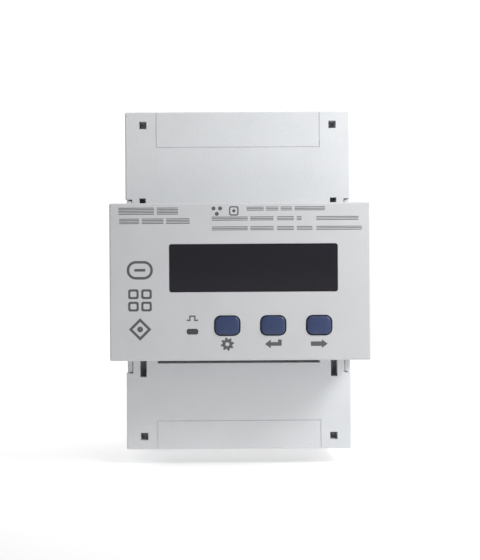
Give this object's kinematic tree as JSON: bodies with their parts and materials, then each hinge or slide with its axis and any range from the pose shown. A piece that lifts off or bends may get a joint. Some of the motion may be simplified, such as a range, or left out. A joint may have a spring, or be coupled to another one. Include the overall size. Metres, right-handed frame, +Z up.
{
  "type": "rail-mounted electricity meter",
  "caption": "Rail-mounted three-phase electricity meter with a display, push keys, hinged terminal covers and a sprung rail clip.",
  "frame": {"origin": "middle of the seat that rests on the mounting rail", "axes": "+X to the right as one reads the display, +Y back into the rail, +Z up"},
  "size_m": [0.072, 0.0655, 0.1],
  "materials": {
    "housing": "fine matte moulded texture",
    "cover": "fine matte moulded texture",
    "clip": "matte moulded",
    "key": "smooth satin",
    "smoked_window": "clear gloss",
    "lcd": "gloss",
    "frame_plastic": "matte",
    "light_guide": "satin",
    "zebra": "matte",
    "circuit_board": "semi-gloss",
    "silicone": "matte",
    "carbon": "matte",
    "lens": "gloss",
    "led": "gloss",
    "ferrite": "matte",
    "capacitor_sleeve": "gloss",
    "film_yellow": "semi-gloss",
    "varistor_blue": "gloss",
    "transformer_blue": "semi-gloss",
    "chip_black": "matte",
    "strip_green": "matte",
    "copper": "tinned copper, satin",
    "nickel_brass": "nickel-plated, satin",
    "steel": "zinc-plated, satin",
    "ink": "printed, matte",
    "label": "polyester film, satin"
  },
  "bodies": {
    "housing": {"base_housing": "housing", "front_housing": "housing", "case_screws": "steel", "wiring_label": "label", "clip_spring": "steel", "display_window": "smoked_window", "lcd_frame": "frame_plastic", "lcd_glass": "lcd", "lcd_backlight": "light_guide", "zebra_strips": "zebra", "display_board": "circuit_board", "keypad_mat": "silicone", "set_dome": "silicone", "esc_dome": "silicone", "next_dome": "silicone", "pulse_lens": "lens", "pulse_led": "led", "main_board": "circuit_board", "supply_transformer": "ferrite", "electrolytic_capacitors": "capacitor_sleeve", "film_capacitors": "film_yellow", "varistors": "varistor_blue", "metering_chips": "chip_black", "optocouplers": "frame_plastic", "board_header": "chip_black", "voltage_taps": "copper", "current_transformer_l1": "transformer_blue", "current_transformer_l2": "transformer_blue", "current_transformer_l3": "transformer_blue", "busbar_l1": "copper", "busbar_l2": "copper", "busbar_l3": "copper", "busbar_n": "copper", "terminal_l1_in": "nickel_brass", "terminal_l2_in": "nickel_brass", "terminal_l3_in": "nickel_brass", "terminal_n_in": "nickel_brass", "terminal_l1_out": "nickel_brass", "terminal_l2_out": "nickel_brass", "terminal_l3_out": "nickel_brass", "terminal_n_out": "nickel_brass", "clamp_screws_in": "steel", "clamp_screws_out": "steel", "signal_board": "circuit_board", "signal_header": "chip_black", "signal_terminal_strip": "strip_green", "signal_screws": "steel"},
    "top_cover": {"top_cover": "cover"},
    "bottom_cover": {"bottom_cover": "cover"},
    "rail_clip": {"rail_clip": "clip"},
    "set_key": {"set_button": "key", "set_pill": "carbon"},
    "esc_key": {"esc_button": "key", "esc_pill": "carbon"},
    "next_key": {"next_button": "key", "next_pill": "carbon"}
  },
  "joints": [
    {"name": "top_cover_hinge", "type": "hinge", "parent": "housing", "child": "top_cover", "pos_m": [0, -0.0425, 0.02285], "axis": [1, 0, 0], "range_deg": [0, 90]},
    {"name": "bottom_cover_hinge", "type": "hinge", "parent": "housing", "child": "bottom_cover", "pos_m": [0, -0.0425, -0.0253], "axis": [-1, 0, 0], "range_deg": [0, 90]},
    {"name": "set_key_press", "type": "slide", "parent": "housing", "child": "set_key", "axis": [0, 1, 0], "range_m": [0, 0.0008], "stiffness_N_per_m": 1200, "springref_m": -0.0001, "deforming": ["set_dome"]},
    {"name": "esc_key_press", "type": "slide", "parent": "housing", "child": "esc_key", "axis": [0, 1, 0], "range_m": [0, 0.0008], "stiffness_N_per_m": 1200, "springref_m": -0.0001, "deforming": ["esc_dome"]},
    {"name": "next_key_press", "type": "slide", "parent": "housing", "child": "next_key", "axis": [0, 1, 0], "range_m": [0, 0.0008], "stiffness_N_per_m": 1200, "springref_m": -0.0001, "deforming": ["next_dome"]},
    {"name": "rail_clip_slide", "type": "slide", "parent": "housing", "child": "rail_clip", "axis": [0, 0, -1], "range_m": [0, 0.0045], "stiffness_N_per_m": 2000, "springref_m": -0.003, "deforming": ["clip_spring"]}
  ]
}
